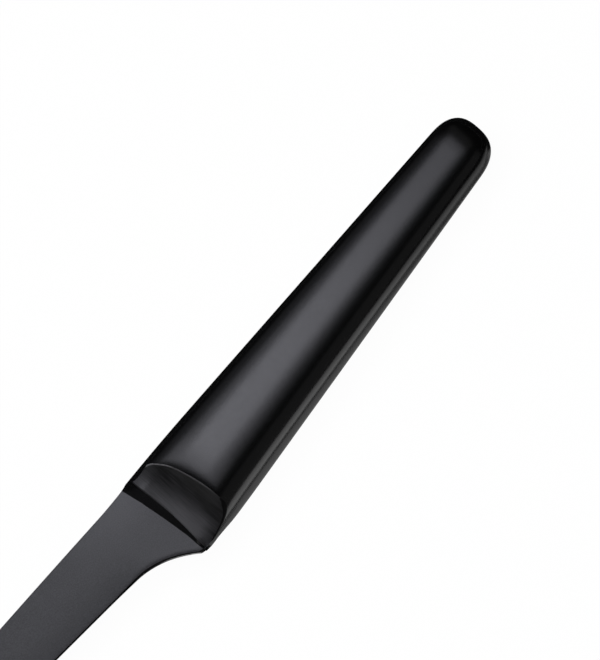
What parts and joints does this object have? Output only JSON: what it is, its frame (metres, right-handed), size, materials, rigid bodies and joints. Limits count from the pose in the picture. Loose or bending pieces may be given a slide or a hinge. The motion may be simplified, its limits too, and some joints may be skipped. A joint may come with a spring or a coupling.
{
  "type": "fillet knife",
  "caption": "Fillet knife with a slim flexible blade that tapers to a point, a concave choil, scooped bolsters and a smooth hollow wedge-shaped handle.",
  "frame": {"origin": "under the middle of the knife, on the surface that it lies on with its right side down", "axes": "+X along the knife towards the butt of the handle, +Y from the cutting edge to the spine, +Z out of the left side"},
  "size_m": [0.2854, 0.0272, 0.0168],
  "materials": {
    "blade_coat": "thin matte charcoal coat on blade steel, faintly violet, bare along the cutting edge",
    "handle_coat": "satin black coat on steel, smooth on the handle and finely brushed across the scoops",
    "rivet_steel": "bare turned steel, hidden inside the handle"
  },
  "bodies": {
    "root": {"blade": "blade_coat", "bolster_left": "handle_coat", "bolster_right": "handle_coat", "tang_rivet_front": "rivet_steel", "tang_rivet_rear": "rivet_steel", "handle_shell_left": "handle_coat", "handle_shell_right": "handle_coat"}
  },
  "joints": []
}
